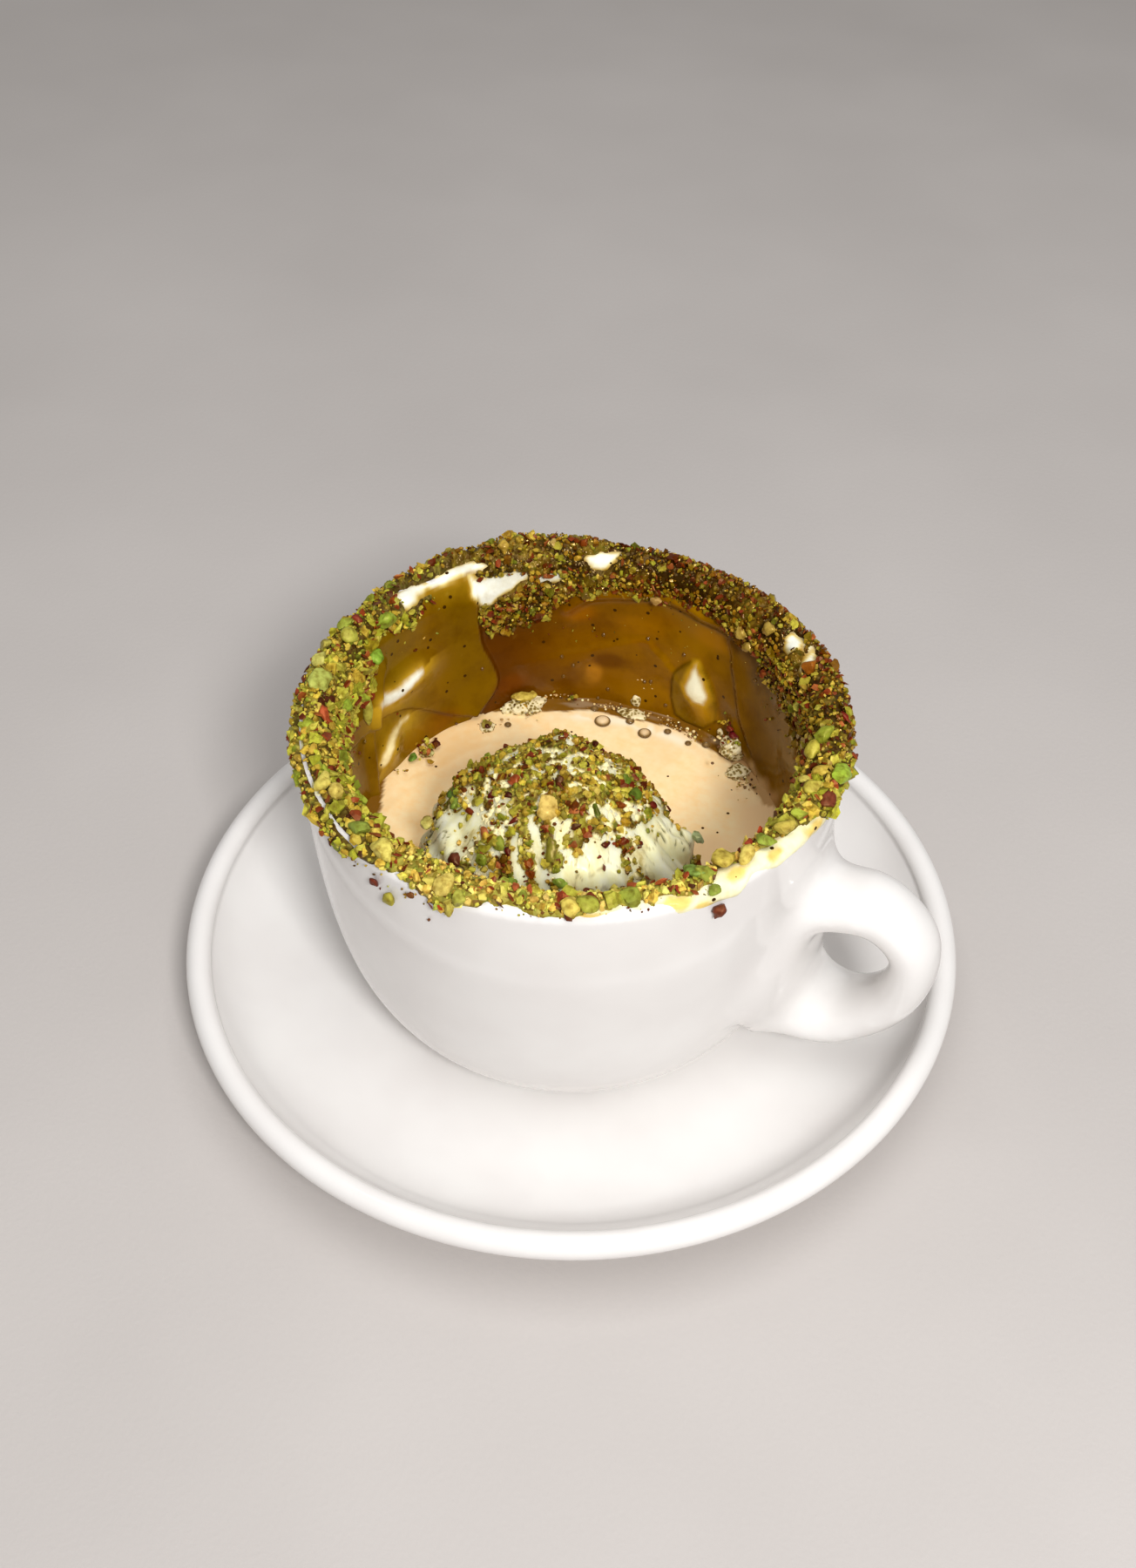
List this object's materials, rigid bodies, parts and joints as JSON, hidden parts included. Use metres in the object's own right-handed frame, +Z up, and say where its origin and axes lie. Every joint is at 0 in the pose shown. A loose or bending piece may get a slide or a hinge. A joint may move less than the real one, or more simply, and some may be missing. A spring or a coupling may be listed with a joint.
{
  "type": "affogato in a cup on a saucer",
  "caption": "Handled cup on a saucer, lined with pistachio cream, with milky coffee, a ball of ice cream and a crushed-nut rim.",
  "frame": {"origin": "centre of the bounding box's bottom face, on the table under the middle of the saucer", "axes": "+Z up out of the cup, +X towards the handle, +Y to the left of someone who looks along the handle from the cup"},
  "size_m": [0.16, 0.16, 0.0788],
  "materials": {
    "porcelain": "gloss white glaze",
    "pistachio_cream": "wet, oily gloss",
    "coffee": "smooth fine foam with a satin sheen",
    "ice_cream": "melting, softly glossy",
    "pistachios": "dry chopped kernels and skins, oily at the back"
  },
  "bodies": {
    "root": {"saucer": "porcelain", "cup": "porcelain", "pistachio_cream": "pistachio_cream", "coffee": "coffee", "ice_cream": "ice_cream", "rim_nuts": "pistachios", "scoop_nuts": "pistachios"}
  },
  "joints": []
}
